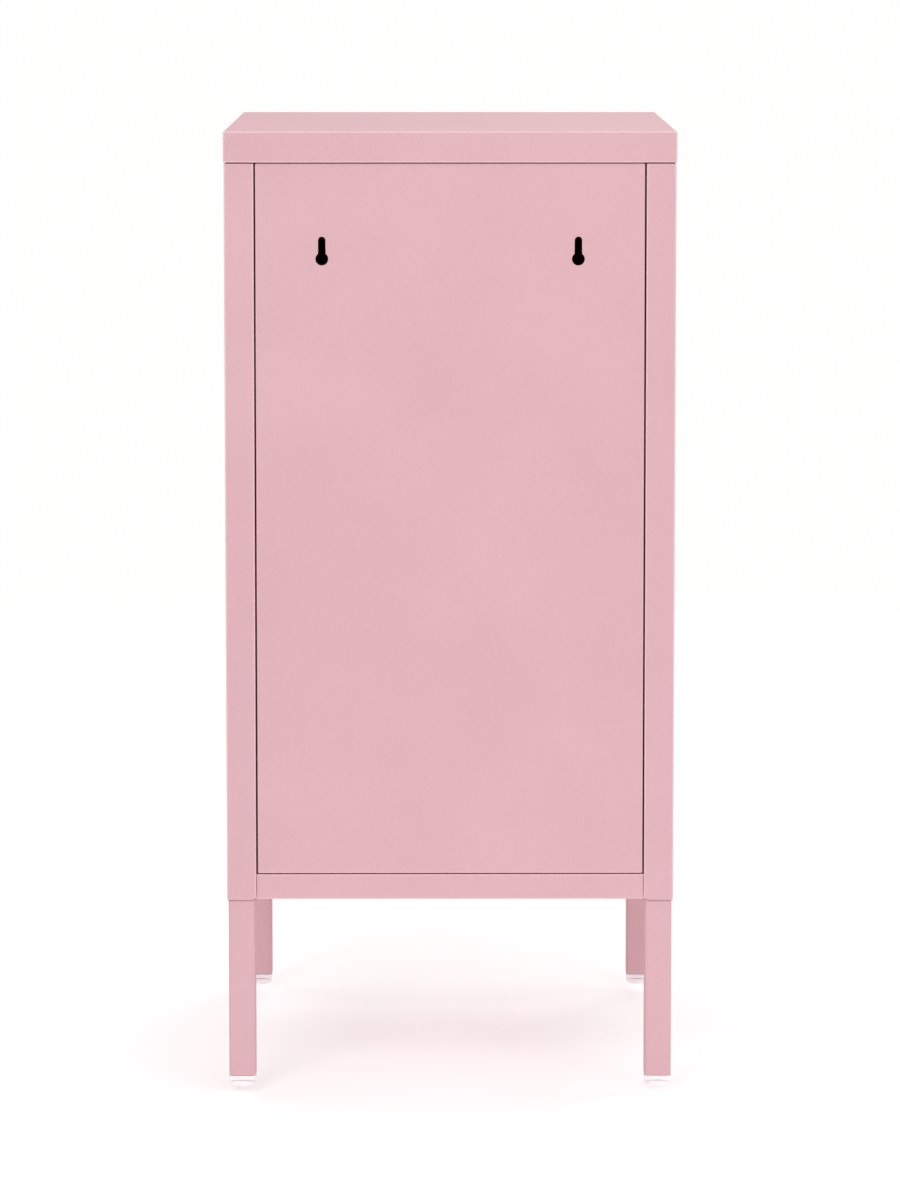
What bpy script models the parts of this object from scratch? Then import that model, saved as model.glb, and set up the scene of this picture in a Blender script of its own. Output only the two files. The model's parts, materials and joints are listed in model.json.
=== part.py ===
"""Steel locker cabinet on four square legs, with one shelf and one hinged, lockable door.

Metres, +Z up. The door faces -Y and the plain back, with its two keyholes, faces +Y.
The origin is on the floor, at the middle of the whole object's box.
"""

import math

import bmesh
import bpy
from mathutils import Matrix, Vector

# %% Driving sizes: the carcase
WIDTH = 0.350  # across the top cap
DEPTH = 0.400  # front to back of the top cap
HEIGHT = 0.750  # floor to the top of the cap
SHEET = 0.0008  # steel sheet
BEND = 0.0011  # outer radius of a fold
GAP = 0.0003  # clearance between pieces that touch
THROUGH = 0.006  # length of a cutter that passes through one sheet
CAP_LIP = 0.024  # height of the cap's turned-down edge
CAP_PROUD = 0.0005  # how far the cap stands out past the body on each side
CAP_SEAM = 0.0008  # shadow gap between the cap and the body
CAP_RETURN = 0.016  # width of the cap's turned-in flange
CAP_FRONT_RETURN = 0.034  # the same at the front, where it carries the door catch
POST = 0.023  # width of the flange at each upright edge of a side panel
POST_RETURN = 0.0222  # how far that flange is then turned into the cabinet
POST_CORNER = 0.004  # rounding at the flange's lower inner corner
SIDE_TOP_FLANGE = 0.020
SIDE_NOTCH = 0.003  # where the side panel's top flange stops short of the corner
RAIL_LOW = 0.150  # bottom edge of the front and rear rails
RAIL = 0.020  # height of those rails
RAIL_LIP = 0.010
RAIL_RECESS = 0.0011  # the rails' faces sit this far inside the posts' faces
POST_DROP = 0.0005  # how far the side panels reach below the rails
BACK_RECESS = 0.001  # the back panel sits this far inside the posts' faces
BACK_GAP = 0.001  # open joint between the back panel and the posts
BACK_FLANGE = 0.015
BACK_RISE = 0.0004  # the back panel reaches this far above the posts' tops
BACK_FOOT = 0.0005  # gap between the back panel and the floor panel

# %% Driving sizes: keyholes, shelf, legs
KEYHOLE_SPACING = 0.198
KEYHOLE_Z = 0.6516  # centre of the round part
KEYHOLE_R = 0.005
KEYHOLE_SLOT = 0.0058  # width of the slot
KEYHOLE_TOP = 0.0174  # slot's end above the round part's centre
SHELF_Z = 0.450
SHELF_THICK = 0.015
SHELF_RETURN = 0.010
SHELF_FRONT = 0.027  # shelf edge behind the posts' front faces
SHELF_BACK = 0.0235
SHELF_SIDE_GAP = 0.0008
RAIL_ANGLE = 0.015  # leg of the shelf rail's angle section
LEG = 0.0208  # square tube
LEG_WALL = 0.0012
LEG_CORNER = 0.002
LEG_LOW = 0.0095
LEG_LENGTH = 0.200
LEG_BOLT_Z = 0.160
LEG_NUT_FLATS = 0.010
LEG_NUT_THICK = 0.005
PLUG_RIM = 0.0036
PLUG_INSERT = 0.0176
PLUG_INSERT_HIGH = 0.016
PLUG_CHAMFER = 0.0006
GLIDE_R = 0.0102
GLIDE_HIGH = 0.0052
GLIDE_EDGE = 0.003  # rounding of its lower edge
GLIDE_CHAMFER = 0.0004
STUD_R = 0.003
STUD_TOP = 0.0225

# %% Driving sizes: door, hinge, lock, knob, catch
DOOR_GAP = 0.0015  # at the sides and the bottom
DOOR_TOP_GAP = 0.001
BEHIND_DOOR = 0.0006  # from the shut door's back to the catch and the stop
DOOR_THICK = 0.018
DOOR_RETURN = 0.010
HINGE_FROM_EDGE = 0.009
HINGE_DEPTH = 0.0055  # hinge axis behind the door's front face
PIN_R = 0.0025
PIN_HEAD_R = 0.004
PIN_HEAD = 0.0015
RUNNING = 0.00008  # radial clearance of a turning fit
BUSH_R = 0.0035
BUSH_FLANGE_R = 0.0045
BUSH_FLANGE = 0.0008
BUSH_BARREL = 0.0026
VENT = 0.060
VENT_HIGH = 0.004
VENT_PITCH = 0.012
VENTS = 3
VENT_MARGIN = 0.034  # outermost slot from the door's edge
STIFFENER_MARGIN = 0.085
STIFFENER_DEEP = 0.012
STIFFENER_HALVES = (0.027, 0.015, 0.011)  # half widths at its flanges, their folds and its crown
KNOB_OUT = 0.0225
KNOB_R = 0.013
KNOB_HEAD = 0.006  # half the thickness of its rounded head
KNOB_NECK = ((0.0118, 0.0070), (0.0060, 0.0040))  # middle and radii of the hollow curve under it
KNOB_FOOT_R = 0.009
KNOB_FOOT = 0.0015
KNOB_BORE = 0.011
KNOB_Z = 0.440
LOCK_Z = 0.490
LOCK_FROM_EDGE = 0.024
LOCK_R = 0.008
LOCK_FACE_R = 0.0095
LOCK_FACE = 0.0015
LOCK_RIM = 0.0004
LOCK_BARREL = 0.0222
LOCK_PLUG_R = 0.0055
LOCK_STEPS = 24  # sides of the plug and its bore, enough for them to turn freely
KEYWAY = (0.0012, 0.007)
KEYWAY_DEEP = 0.008
LOCK_NUT_FLATS = 0.022
LOCK_NUT_THICK = 0.004
CAM_LENGTH = 0.034
CAM_WIDE = 0.014
CAM_THICK = 0.002
CAM_CORNER = 0.005
CAM_TAIL_R = 0.0032
CATCH = (0.045, 0.014, 0.012)
CATCH_X = 0.102  # middle of the catch
CATCH_SCREWS = 0.034
MAGNET = (0.022, 0.006, 0.006)
STOP_X = 0.110
STOP_R = 0.005
STOP_HIGH = 0.008
STOP_STEM_R = 0.0022
STOP_BULB_R = 0.0032
STOP_BULB_HIGH = 0.003

# %% Driving sizes: screws, as shank radius, shank length, head radius, head height
M4 = (0.0020, 0.0075, 0.0038, 0.0022)
M3 = (0.0015, 0.0160, 0.0028, 0.0018)
M3_CAM = (0.0015, 0.0090, 0.0040, 0.0020)
M4_KNOB = (0.0020, 0.0085, 0.0038, 0.0022)
M6 = (0.0030, 0.0115, 0.00525, 0.0033)
CAP_SCREW_X = 0.164
CAP_SCREW_Y = 0.120
BACK_SCREW_Z = (0.260, 0.640)
BACK_SCREW_IN = 0.010  # behind the posts' rear faces

# %% Places worked out from the sizes
OVERALL_DEPTH = DEPTH - CAP_PROUD + KNOB_OUT
REAR = OVERALL_DEPTH / 2 - CAP_PROUD  # rear faces of the posts
FRONT = REAR - DEPTH + 2 * CAP_PROUD  # front faces of the posts, and of the door
MIDDLE_Y = (FRONT + REAR) / 2
SIDE_X = WIDTH / 2 - CAP_PROUD
OPEN_X = SIDE_X - POST  # half the clear width between the posts
CAP_LOW = HEIGHT - CAP_LIP
BODY_TOP = CAP_LOW - CAP_SEAM
FLOOR_Z = RAIL_LOW + RAIL
POST_LOW = RAIL_LOW - POST_DROP
DOOR_X = OPEN_X - DOOR_GAP
DOOR_LOW = FLOOR_Z + DOOR_GAP
DOOR_HIGH = BODY_TOP - DOOR_TOP_GAP
DOOR_BACK = FRONT + DOOR_THICK
HINGE_X = HINGE_FROM_EDGE - DOOR_X
HINGE_Y = FRONT + HINGE_DEPTH
LOCK_X = DOOR_X - LOCK_FROM_EDGE
LEG_X = SIDE_X - SHEET - GAP - LEG / 2
LEG_INSET = SHEET + GAP + LEG / 2
BACK_X = OPEN_X - BACK_GAP
CATCH_Y = DOOR_BACK + BEHIND_DOOR + CATCH[1] / 2
STOP_Y = DOOR_BACK + BEHIND_DOOR + STOP_R
TOWARD_DOOR = Vector((0, -1, 0))
TOWARD_BACK = Vector((0, 1, 0))
UP = Vector((0, 0, 1))
DOWN = Vector((0, 0, -1))

# %% Finishes: colour, roughness, metallic
FINISHES = {
    "pink_paint": ((0.75, 0.47, 0.51, 1), 0.45, 0.0),
    "white_plastic": ((0.90, 0.85, 0.85, 1), 0.40, 0.0),
    "nylon": ((0.85, 0.84, 0.80, 1), 0.50, 0.0),
    "zinc": ((0.62, 0.62, 0.64, 1), 0.35, 1.0),
    "chrome": ((0.80, 0.80, 0.82, 1), 0.15, 1.0),
    "rubber": ((0.06, 0.06, 0.06, 1), 0.80, 0.0),
    "magnet": ((0.10, 0.10, 0.11, 1), 0.60, 0.0),
}


# %% Helpers: scene, objects and modifiers
def start_scene():
    """Empty the file and make the two collections."""
    for obj in list(bpy.data.objects):
        bpy.data.objects.remove(obj, do_unlink=True)
    groups = {}
    for name in ("locker_cabinet", "cutters"):
        groups[name] = bpy.data.collections.new(name)
        bpy.context.scene.collection.children.link(groups[name])
    return groups


GROUPS = start_scene()


def finish_material(piece, finish):
    """A piece's own Principled material in one of the cabinet's finishes."""
    colour, roughness, metallic = FINISHES[finish]
    mat = bpy.data.materials.new(f"{piece}_{finish}")
    mat.use_nodes = True
    shader = mat.node_tree.nodes["Principled BSDF"]
    shader.inputs["Base Color"].default_value = colour
    shader.inputs["Roughness"].default_value = roughness
    shader.inputs["Metallic"].default_value = metallic
    return mat


def mesh_from(name, bm):
    """Write a bmesh to a new mesh and free it."""
    mesh = bpy.data.meshes.new(name)
    bm.to_mesh(mesh)
    bm.free()
    return mesh


def add_part(name, bm, finish, origin):
    """A part whose bmesh is in world places; its object's origin is put at the given point."""
    origin = Vector(origin)
    bmesh.ops.translate(bm, verts=bm.verts, vec=-origin)
    obj = bpy.data.objects.new(name, mesh_from(name, bm))
    obj.location = origin
    obj.data.materials.append(finish_material(name, finish))
    GROUPS["locker_cabinet"].objects.link(obj)
    return obj


def add_cutter(name, bm):
    """A cutter, in world places."""
    obj = bpy.data.objects.new(name, mesh_from(name, bm))
    obj.hide_render = True
    obj.display_type = "WIRE"
    GROUPS["cutters"].objects.link(obj)
    return obj


def round_folds(obj, radius=BEND, segments=3):
    """Round every fold or edge sharper than 30 degrees."""
    bevel = obj.modifiers.new("folds", "BEVEL")
    bevel.limit_method = "ANGLE"
    bevel.angle_limit = math.radians(30)
    bevel.width = radius
    bevel.segments = segments


def thicken(obj, thickness=SHEET):
    """Give a sheet its thickness, behind its outer face."""
    solid = obj.modifiers.new("sheet", "SOLIDIFY")
    solid.thickness = thickness
    solid.offset = -1
    solid.use_even_offset = True
    solid.use_quality_normals = True


def cut(obj, cutter):
    """Take a cutter's shape out of a part."""
    hole = obj.modifiers.new(cutter.name, "BOOLEAN")
    hole.operation = "DIFFERENCE"
    hole.solver = "EXACT"
    hole.object = cutter


def axis_empty(name, place, parent=None):
    """An empty on a joint's axis, which its moving pieces hang from."""
    empty = bpy.data.objects.new(name, None)
    empty.location = place
    empty.empty_display_size = 0.02
    GROUPS["locker_cabinet"].objects.link(empty)
    if parent:
        hang(parent, empty)
    return empty


def hang(parent, *pieces):
    """Parent pieces without moving them. Axis empties are never turned."""
    place = Vector(parent.location)
    for piece in pieces:
        piece.parent = parent
        piece.matrix_parent_inverse = Matrix.Translation(place).inverted()


# %% Helpers: shapes
def box_bm(low, high):
    """A closed box between two corners."""
    low, high = Vector(low), Vector(high)
    bm = bmesh.new()
    bmesh.ops.create_cube(bm, size=1)
    bmesh.ops.scale(bm, vec=high - low, verts=bm.verts)
    bmesh.ops.translate(bm, vec=(low + high) / 2, verts=bm.verts)
    return bm


def face_toward(bm, direction):
    """The face whose normal points most nearly along a direction."""
    bm.normal_update()
    return max(bm.faces, key=lambda face: face.normal.dot(direction))


def face_out(bm, outward):
    """Make an open sheet's normals agree, with its largest face pointing outward."""
    bmesh.ops.recalc_face_normals(bm, faces=bm.faces)
    bm.normal_update()
    widest = max(bm.faces, key=lambda face: face.calc_area())
    if widest.normal.dot(Vector(outward)) < 0:
        bmesh.ops.reverse_faces(bm, faces=bm.faces)


def tray_bm(low, high, opening, lip=0.0):
    """A folded tray: a box open on one side, with an optional lip turned in round the opening."""
    bm = box_bm(low, high)
    mouth = face_toward(bm, opening)
    if lip:
        bmesh.ops.inset_individual(bm, faces=[mouth], thickness=lip, use_even_offset=True)
    bmesh.ops.delete(bm, geom=[mouth], context="FACES")
    return bm


def strip_bm(points, sweep, outward):
    """An open sheet: a chain of edges through the points, swept along a vector."""
    bm = bmesh.new()
    verts = [bm.verts.new(point) for point in points]
    edges = [bm.edges.new(pair) for pair in zip(verts, verts[1:])]
    swept = bmesh.ops.extrude_edge_only(bm, edges=edges)["geom"]
    moved = [item for item in swept if isinstance(item, bmesh.types.BMVert)]
    bmesh.ops.translate(bm, verts=moved, vec=sweep)
    face_out(bm, outward)
    return bm


def prism_bm(outline, sweep):
    """A closed prism: a flat outline of points, swept along a vector."""
    bm = bmesh.new()
    base = bm.faces.new([bm.verts.new(point) for point in outline])
    swept = bmesh.ops.extrude_face_region(bm, geom=[base], use_keep_orig=True)["geom"]
    moved = [item for item in swept if isinstance(item, bmesh.types.BMVert)]
    bmesh.ops.translate(bm, verts=moved, vec=sweep)
    bmesh.ops.recalc_face_normals(bm, faces=bm.faces)
    return bm


def rods_bm(rods, segments=12):
    """Separate cylinders, each given as middle, direction, radius and length."""
    bm = bmesh.new()
    for middle, direction, radius, length in rods:
        turn = Vector(direction).to_track_quat("Z", "Y").to_matrix().to_4x4()
        bmesh.ops.create_cone(
            bm, cap_ends=True, segments=segments, radius1=radius, radius2=radius,
            depth=length, matrix=Matrix.Translation(middle) @ turn,
        )
    return bm


def joined_bm(shapes):
    """Separate closed shapes in one bmesh, for a part that takes several cuts at once."""
    joined = bmesh.new()
    for shape in shapes:
        mesh = mesh_from("shape", shape)
        joined.from_mesh(mesh)
        bpy.data.meshes.remove(mesh)
    return joined


def turned_part(name, profile, finish, place, direction=UP, steps=16, closed=False):
    """A turned piece. The profile's (radius, height) points run down its outer side."""
    bm = bmesh.new()
    verts = [bm.verts.new((radius, 0, height)) for radius, height in profile]
    for pair in zip(verts, verts[1:]):
        bm.edges.new(pair)
    if closed:
        bm.edges.new((verts[-1], verts[0]))
    obj = add_part(name, bm, finish, (0, 0, 0))
    spin = obj.modifiers.new("turning", "SCREW")
    spin.steps = steps
    spin.render_steps = steps
    spin.use_merge_vertices = True
    spin.merge_threshold = 0.00001
    obj.location = place
    obj.rotation_euler = direction.to_track_quat("Z", "Y").to_euler()
    return obj


def arc(middle, radii, start, end, steps):
    """Points along part of an ellipse, as (radius, height), from one angle to another."""
    points = []
    for step in range(steps + 1):
        angle = math.radians(start + (end - start) * step / steps)
        points.append((middle[0] + radii[0] * math.cos(angle), middle[1] + radii[1] * math.sin(angle)))
    return points


def settle(obj):
    """Replace a piece's modifiers by the mesh they make, and remove its cutters."""
    cutters = [mod.object for mod in obj.modifiers if mod.type == "BOOLEAN"]
    bpy.context.view_layer.update()
    shape = obj.evaluated_get(bpy.context.evaluated_depsgraph_get())
    mesh = bpy.data.meshes.new_from_object(shape)
    obj.modifiers.clear()
    obj.data = mesh
    mesh.shade_smooth()
    mesh.set_sharp_from_angle(angle=math.radians(35))
    for cutter in cutters:
        bpy.data.objects.remove(cutter)
    return obj


# %% Screws: one mesh for each size, shared by its copies
def screw_template(name, size, drive):
    """A pan-head screw, head up, the underside of its head at the origin."""
    shank_r, length, head_r, head = size
    profile = [(0, head), (head_r * 0.65, head), (head_r, head * 0.4)]
    profile += [(head_r, 0), (shank_r, 0), (shank_r, -length), (0, -length)]
    screw = turned_part(name, profile, "zinc", (0, 0, 0), steps=12)
    across = head_r * 0.95
    if drive == "hex":
        socket = rods_bm([((0, 0, head), UP, across / 2, head)], segments=6)
    else:
        socket = box_bm((-across / 2, -across / 9, head * 0.45), (across / 2, across / 9, head * 2))
    cut(screw, add_cutter(f"{name}_drive", socket))
    return settle(screw)


SCREW_MESHES = {}


def add_screws(size, drive, places):
    """Screws of one size. Each place is name, point under the head, and the way the head faces."""
    screws = []
    for name, point, direction in places:
        key = (size, drive)
        if key not in SCREW_MESHES:
            screw = screw_template(name, size, drive)
            SCREW_MESHES[key] = screw.data
        else:
            screw = bpy.data.objects.new(name, SCREW_MESHES[key].copy())
            screw.data.materials[0] = finish_material(name, "zinc")
            GROUPS["locker_cabinet"].objects.link(screw)
        screw.location = point
        screw.rotation_euler = Vector(direction).to_track_quat("Z", "Y").to_euler()
        screws.append(screw)
    return screws


# %% Carcase
def corners():
    """The four corners as name, x sign, and the y of the post's face with its inward sign."""
    for end, face, inward in (("front", FRONT, 1), ("rear", REAR, -1)):
        for side, sign in (("left", -1), ("right", 1)):
            yield f"{end}_{side}", sign, face, inward


def cap_screw_points():
    """Cap screw places, under the side panels' top flanges."""
    for x in (-CAP_SCREW_X, CAP_SCREW_X):
        for y in (-CAP_SCREW_Y, CAP_SCREW_Y):
            yield x, MIDDLE_Y + y


def make_top_cap():
    """Tray turned down on all four sides, then turned in; the front flange is the deepest."""
    low = (-WIDTH / 2, FRONT - CAP_PROUD, CAP_LOW)
    high = (WIDTH / 2, REAR + CAP_PROUD, HEIGHT)
    bm = tray_bm(low, high, DOWN, CAP_RETURN)
    inner_front = FRONT - CAP_PROUD + CAP_RETURN
    rim = [v for v in bm.verts if abs(v.co.y - inner_front) < 0.001]
    bmesh.ops.translate(bm, verts=rim, vec=(0, CAP_FRONT_RETURN - CAP_RETURN, 0))
    cap = add_part("top_cap", bm, "pink_paint", (0, MIDDLE_Y, HEIGHT))
    round_folds(cap)
    thicken(cap)
    holes = [((x, y, CAP_LOW), UP, M4[0] + GAP, THROUGH) for x, y in cap_screw_points()]
    holes.append(((HINGE_X, HINGE_Y, CAP_LOW), UP, BUSH_R + GAP, THROUGH))
    for x in (-CATCH_SCREWS / 2, CATCH_SCREWS / 2):
        holes.append(((CATCH_X + x, CATCH_Y, CAP_LOW), UP, M3[0] + GAP, THROUGH))
    cut(cap, add_cutter("top_cap_holes", rods_bm(holes)))


def make_side_panel(side, sign):
    """One sheet: outer wall, front and rear flanges, returns into the cabinet, top flange."""
    outer, inner = sign * SIDE_X, sign * OPEN_X
    outline = [
        (inner, FRONT + POST_RETURN),
        (inner, FRONT),
        (outer, FRONT),
        (outer, FRONT + SIDE_NOTCH),
        (outer, REAR - SIDE_NOTCH),
        (outer, REAR),
        (inner, REAR),
        (inner, REAR - POST_RETURN),
    ]
    points = [(x, y, POST_LOW) for x, y in outline]
    bm = strip_bm(points, (0, 0, BODY_TOP - POST_LOW), (sign, 0, 0))
    notch_ends = (FRONT + SIDE_NOTCH, REAR - SIDE_NOTCH)
    tops = [v for v in bm.verts if v.co.z > HEIGHT / 2 and min(abs(v.co.y - y) for y in notch_ends) < 0.0001]
    edge = bm.edges.get(tops)
    flange = bmesh.ops.extrude_edge_only(bm, edges=[edge])["geom"]
    moved = [item for item in flange if isinstance(item, bmesh.types.BMVert)]
    bmesh.ops.translate(bm, verts=moved, vec=(-sign * SIDE_TOP_FLANGE, 0, 0))
    face_out(bm, (sign, 0, 0))
    panel = add_part(f"{side}_side_panel", bm, "pink_paint", (outer, MIDDLE_Y, POST_LOW))
    round_folds(panel)
    thicken(panel)

    holes = []
    for _, corner_sign, face, inward in corners():
        if corner_sign == sign:
            holes.append(((inner, face + inward * LEG_INSET, LEG_BOLT_Z), (1, 0, 0), M6[0] + GAP, THROUGH))
    for z in BACK_SCREW_Z:
        holes.append(((inner, REAR - BACK_SCREW_IN, z), (1, 0, 0), M4[0] + GAP, THROUGH))
    for x, y in cap_screw_points():
        if x * sign > 0:
            holes.append(((x, y, BODY_TOP), UP, M4[0] + GAP, THROUGH))

    past = 0.001
    r = POST_CORNER
    rounding = arc((POST_CORNER, POST_CORNER), (r, r), 270, 180, 6)
    outline = [(-past, -past), (r, -past)] + rounding + [(-past, r)]
    points = [(inner + sign * x, FRONT - past, POST_LOW + z) for x, z in outline]
    corner_cut = prism_bm(points, (0, REAR - FRONT + 2 * past, 0))
    cut(panel, add_cutter(f"{side}_side_panel_cuts", joined_bm([rods_bm(holes), corner_cut])))


def keyhole_bm(x):
    """Through-cut: a round hole with a narrower slot above it, ended by a half circle."""
    half = KEYHOLE_SLOT / 2
    shoulder = math.degrees(math.acos(half / KEYHOLE_R))
    outline = arc((x, KEYHOLE_Z), (KEYHOLE_R, KEYHOLE_R), 180 - shoulder, 360 + shoulder, 20)
    outline += arc((x, KEYHOLE_Z + KEYHOLE_TOP - half), (half, half), 0, 180, 8)
    points = [(px, REAR - THROUGH / 2, pz) for px, pz in outline]
    return prism_bm(points, (0, THROUGH, 0))


def make_back_panel():
    """Pan between the rear posts, its edges turned into the cabinet."""
    face = REAR - BACK_RECESS
    low = (-BACK_X, face - BACK_FLANGE, FLOOR_Z + BACK_FOOT)
    high = (BACK_X, face, BODY_TOP + BACK_RISE)
    bm = tray_bm(low, high, TOWARD_DOOR)
    panel = add_part("back_panel", bm, "pink_paint", (0, face, FLOOR_Z))
    round_folds(panel)
    thicken(panel)
    holes = []
    for x in (-BACK_X, BACK_X):
        for z in BACK_SCREW_Z:
            holes.append(((x, REAR - BACK_SCREW_IN, z), (1, 0, 0), M4[0] + GAP, THROUGH))
    keyholes = [keyhole_bm(-KEYHOLE_SPACING / 2), keyhole_bm(KEYHOLE_SPACING / 2)]
    cut(panel, add_cutter("back_panel_cuts", joined_bm([rods_bm(holes)] + keyholes)))


def make_bottom_panel():
    """Floor tray with its edges turned down as rails, notched round the four posts."""
    side_x = SIDE_X - SHEET - SHELF_SIDE_GAP
    low = (-side_x, FRONT + RAIL_RECESS, RAIL_LOW)
    high = (side_x, REAR - RAIL_RECESS, FLOOR_Z)
    bm = tray_bm(low, high, DOWN, RAIL_LIP)
    panel = add_part("bottom_panel", bm, "pink_paint", (0, MIDDLE_Y, FLOOR_Z))
    round_folds(panel)
    thicken(panel)
    cuts = []
    for _, sign, face, inward in corners():
        xs = sorted((sign * (OPEN_X - GAP), sign * WIDTH / 2))
        ys = sorted((face - inward * RAIL_LIP, face + inward * (POST_RETURN + GAP)))
        cuts.append(box_bm((xs[0], ys[0], RAIL_LOW - RAIL), (xs[1], ys[1], FLOOR_Z + RAIL)))
    bush_hole = ((HINGE_X, HINGE_Y, FLOOR_Z), UP, BUSH_R + GAP, THROUGH)
    stop_hole = ((STOP_X, STOP_Y, FLOOR_Z), UP, STOP_STEM_R + GAP, THROUGH)
    cuts.append(rods_bm([bush_hole, stop_hole]))
    cut(panel, add_cutter("bottom_panel_cuts", joined_bm(cuts)))


def make_shelf():
    """Tray that lies on two angles fixed to the side walls."""
    side_x = SIDE_X - SHEET - SHELF_SIDE_GAP
    low = (-side_x, FRONT + SHELF_FRONT, SHELF_Z - SHELF_THICK)
    high = (side_x, REAR - SHELF_BACK, SHELF_Z)
    shelf = add_part("shelf", tray_bm(low, high, DOWN, SHELF_RETURN), "pink_paint", (0, MIDDLE_Y, SHELF_Z))
    round_folds(shelf)
    thicken(shelf)
    ledge_z = SHELF_Z - SHELF_THICK - GAP
    wall_x = SIDE_X - SHEET - GAP
    for side, sign in (("left", -1), ("right", 1)):
        points = [
            (sign * wall_x, FRONT + SHELF_FRONT, ledge_z - RAIL_ANGLE),
            (sign * wall_x, FRONT + SHELF_FRONT, ledge_z),
            (sign * (wall_x - RAIL_ANGLE), FRONT + SHELF_FRONT, ledge_z),
        ]
        bm = strip_bm(points, (0, REAR - SHELF_BACK - FRONT - SHELF_FRONT, 0), (sign, 0, 1))
        rail = add_part(f"{side}_shelf_rail", bm, "pink_paint", (sign * wall_x, MIDDLE_Y, ledge_z))
        round_folds(rail)
        thicken(rail)


# %% Legs and feet
def make_leg(name, x, y):
    """Square tube that slides up inside the corner post, with its plastic foot and its bolt nut."""
    half = LEG / 2
    bm = box_bm((x - half, y - half, LEG_LOW), (x + half, y + half, LEG_LOW + LEG_LENGTH))
    ends = [face_toward(bm, UP), face_toward(bm, DOWN)]
    bmesh.ops.delete(bm, geom=ends, context="FACES")
    leg = add_part(f"{name}_leg", bm, "pink_paint", (x, y, LEG_LOW))
    round_folds(leg, LEG_CORNER)
    thicken(leg, LEG_WALL)
    inward = -math.copysign(1, x)
    wall_x = x + inward * half
    bolt_hole = rods_bm([((wall_x, y, LEG_BOLT_Z), (1, 0, 0), M6[0] + GAP, THROUGH)])
    cut(leg, add_cutter(f"{name}_leg_hole", bolt_hole))

    nut_face = x + inward * (half - LEG_WALL - GAP)
    nut_x = nut_face - inward * LEG_NUT_THICK / 2
    nut_r = LEG_NUT_FLATS / math.sqrt(3)
    nut_place = (nut_x, y, LEG_BOLT_Z)
    nut = add_part(
        f"{name}_leg_nut",
        rods_bm([(nut_place, (1, 0, 0), nut_r, LEG_NUT_THICK)], segments=6),
        "zinc",
        nut_place,
    )
    bore = rods_bm([(nut_place, (1, 0, 0), M6[0] + GAP, LEG_NUT_THICK * 2)])
    cut(nut, add_cutter(f"{name}_leg_nut_bore", bore))


def make_foot(name, x, y):
    """Plastic plug with a square rim under the tube, and a round glide on a threaded stud."""
    half = LEG / 2
    rim_top = LEG_LOW - GAP
    bm = box_bm((x - half, y - half, rim_top - PLUG_RIM), (x + half, y + half, rim_top))
    top = face_toward(bm, UP)
    shoulder = (LEG - PLUG_INSERT) / 2
    bmesh.ops.inset_individual(bm, faces=[top], thickness=shoulder, use_even_offset=True)
    raised = bmesh.ops.extrude_face_region(bm, geom=[top])["geom"]
    bmesh.ops.delete(bm, geom=[top], context="FACES_ONLY")
    moved = [item for item in raised if isinstance(item, bmesh.types.BMVert)]
    bmesh.ops.translate(bm, verts=moved, vec=(0, 0, PLUG_INSERT_HIGH))
    bm.normal_update()
    convex = [edge for edge in bm.edges if edge.is_convex and edge.calc_face_angle() > math.radians(30)]
    bmesh.ops.bevel(
        bm, geom=convex, offset=PLUG_CHAMFER, segments=1, profile=0.5, affect="EDGES", material=-1
    )
    plug = add_part(f"{name}_foot_plug", bm, "white_plastic", (x, y, rim_top))
    bore_length = 2 * (PLUG_RIM + PLUG_INSERT_HIGH)
    bore = rods_bm([((x, y, LEG_LOW), UP, STUD_R + RUNNING, bore_length)], segments=16)
    cut(plug, add_cutter(f"{name}_foot_plug_bore", bore))

    profile = [(0, STUD_TOP), (STUD_R, STUD_TOP), (STUD_R, GLIDE_HIGH)]
    profile += [(GLIDE_R - GLIDE_CHAMFER, GLIDE_HIGH), (GLIDE_R, GLIDE_HIGH - GLIDE_CHAMFER)]
    profile += arc((GLIDE_R - GLIDE_EDGE, GLIDE_EDGE), (GLIDE_EDGE, GLIDE_EDGE), 0, -90, 3)
    profile += [(0, 0)]
    glide = turned_part(f"{name}_glide", profile, "white_plastic", (x, y, 0))
    hang(axis_empty(f"{name}_glide_axis", (x, y, 0)), glide)


# %% Door
def make_door_panel():
    """Pan between the front posts, its edges turned back and then in; slots let air through."""
    low = (-DOOR_X, FRONT, DOOR_LOW)
    high = (DOOR_X, DOOR_BACK, DOOR_HIGH)
    bm = tray_bm(low, high, TOWARD_BACK, DOOR_RETURN)
    door = add_part("door_panel", bm, "pink_paint", (HINGE_X, HINGE_Y, DOOR_LOW))
    round_folds(door)
    thicken(door)
    holes = [
        ((HINGE_X, HINGE_Y, DOOR_LOW), UP, PIN_R + GAP, THROUGH),
        ((HINGE_X, HINGE_Y, DOOR_HIGH), UP, PIN_R + GAP, THROUGH),
        ((LOCK_X, FRONT, LOCK_Z), TOWARD_BACK, LOCK_R + GAP, THROUGH),
        ((LOCK_X, FRONT, KNOB_Z), TOWARD_BACK, M4[0] + GAP, THROUGH),
    ]
    cuts = [rods_bm(holes)]
    for number in range(VENTS):
        rise = VENT_MARGIN + number * VENT_PITCH
        for z in (DOOR_LOW + rise, DOOR_HIGH - rise):
            half = VENT_HIGH / 2
            right = arc((VENT / 2 - half, z), (half, half), -90, 90, 4)
            left = arc((half - VENT / 2, z), (half, half), 90, 270, 4)
            points = [(px, FRONT - THROUGH / 2, pz) for px, pz in right + left]
            cuts.append(prism_bm(points, (0, THROUGH, 0)))
    cut(door, add_cutter("door_panel_cuts", joined_bm(cuts)))
    return door


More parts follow.
